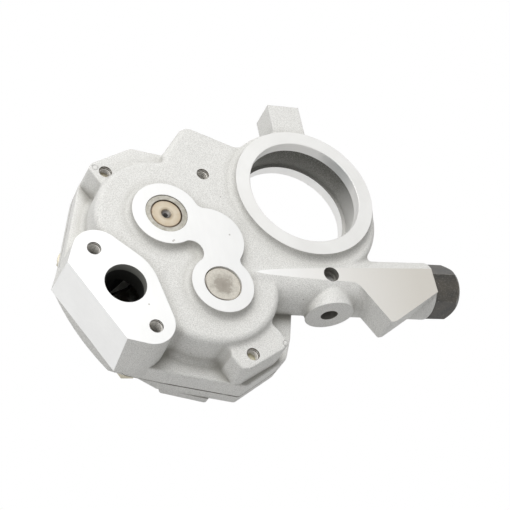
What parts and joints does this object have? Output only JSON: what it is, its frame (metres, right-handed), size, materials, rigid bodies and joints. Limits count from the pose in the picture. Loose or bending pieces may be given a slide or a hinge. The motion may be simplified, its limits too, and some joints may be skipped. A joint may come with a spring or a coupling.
{
  "type": "engine oil pump",
  "caption": "Gear-type engine oil pump: cast aluminium body with bearing ring, suction flange, meshed gears inside and an arm holding the pressure relief valve.",
  "frame": {"origin": "centre of the large ring bore, in the plane of its machined top face", "axes": "+Z along the ring bore and the gear shafts, out of the machined faces; +X along the relief valve arm, towards its hexagon plug"},
  "size_m": [0.2692, 0.2017, 0.0564],
  "materials": {
    "cast_aluminium": "blasted as-cast, machined faces bright",
    "bush_bronze": "turned",
    "shaft_steel": "turned, straw coloured",
    "idler_steel": "turned, dull",
    "ground_steel": "ground",
    "spring_steel": "oiled",
    "black_oxide_steel": "black oxide",
    "copper_seal": "soft copper",
    "zinc_yellow_steel": "yellow zinc"
  },
  "bodies": {
    "housing": {"pump_housing": "cast_aluminium", "pump_cover": "cast_aluminium", "housing_bush": "bush_bronze", "cover_bush": "bush_bronze", "idler_shaft": "idler_steel", "valve_seat": "ground_steel", "relief_spring": "spring_steel", "spring_seat": "ground_steel", "relief_plug": "black_oxide_steel", "plug_seal": "copper_seal", "cover_bolts": "zinc_yellow_steel", "long_bolts": "zinc_yellow_steel", "bolt_washers": "zinc_yellow_steel", "dowel_pins": "ground_steel"},
    "drive_rotor": {"drive_shaft": "shaft_steel", "gear_key": "ground_steel", "drive_pump_gear": "ground_steel"},
    "idler_rotor": {"driven_gear_bush": "bush_bronze", "driven_pump_gear": "ground_steel"},
    "relief_valve": {"relief_piston": "ground_steel"}
  },
  "joints": [
    {"name": "drive_spin", "type": "hinge", "parent": "housing", "child": "drive_rotor", "pos_m": [-0.0992, -0.0233, -0.0274], "axis": [0, 0, 1], "continuous": true},
    {"name": "idler_spin", "type": "hinge", "parent": "housing", "child": "idler_rotor", "pos_m": [-0.07051, -0.07221, -0.0274], "axis": [0, 0, 1], "continuous": true},
    {"name": "relief_slide", "type": "slide", "parent": "housing", "child": "relief_valve", "axis": [1, 0, 0], "range_m": [0, 0.014], "stiffness_N_per_m": 8000, "springref_m": -0.022, "deforming": ["relief_spring"]}
  ],
  "couplings": [
    {"joint": "idler_spin", "follows": "drive_spin", "ratio": -1}
  ]
}
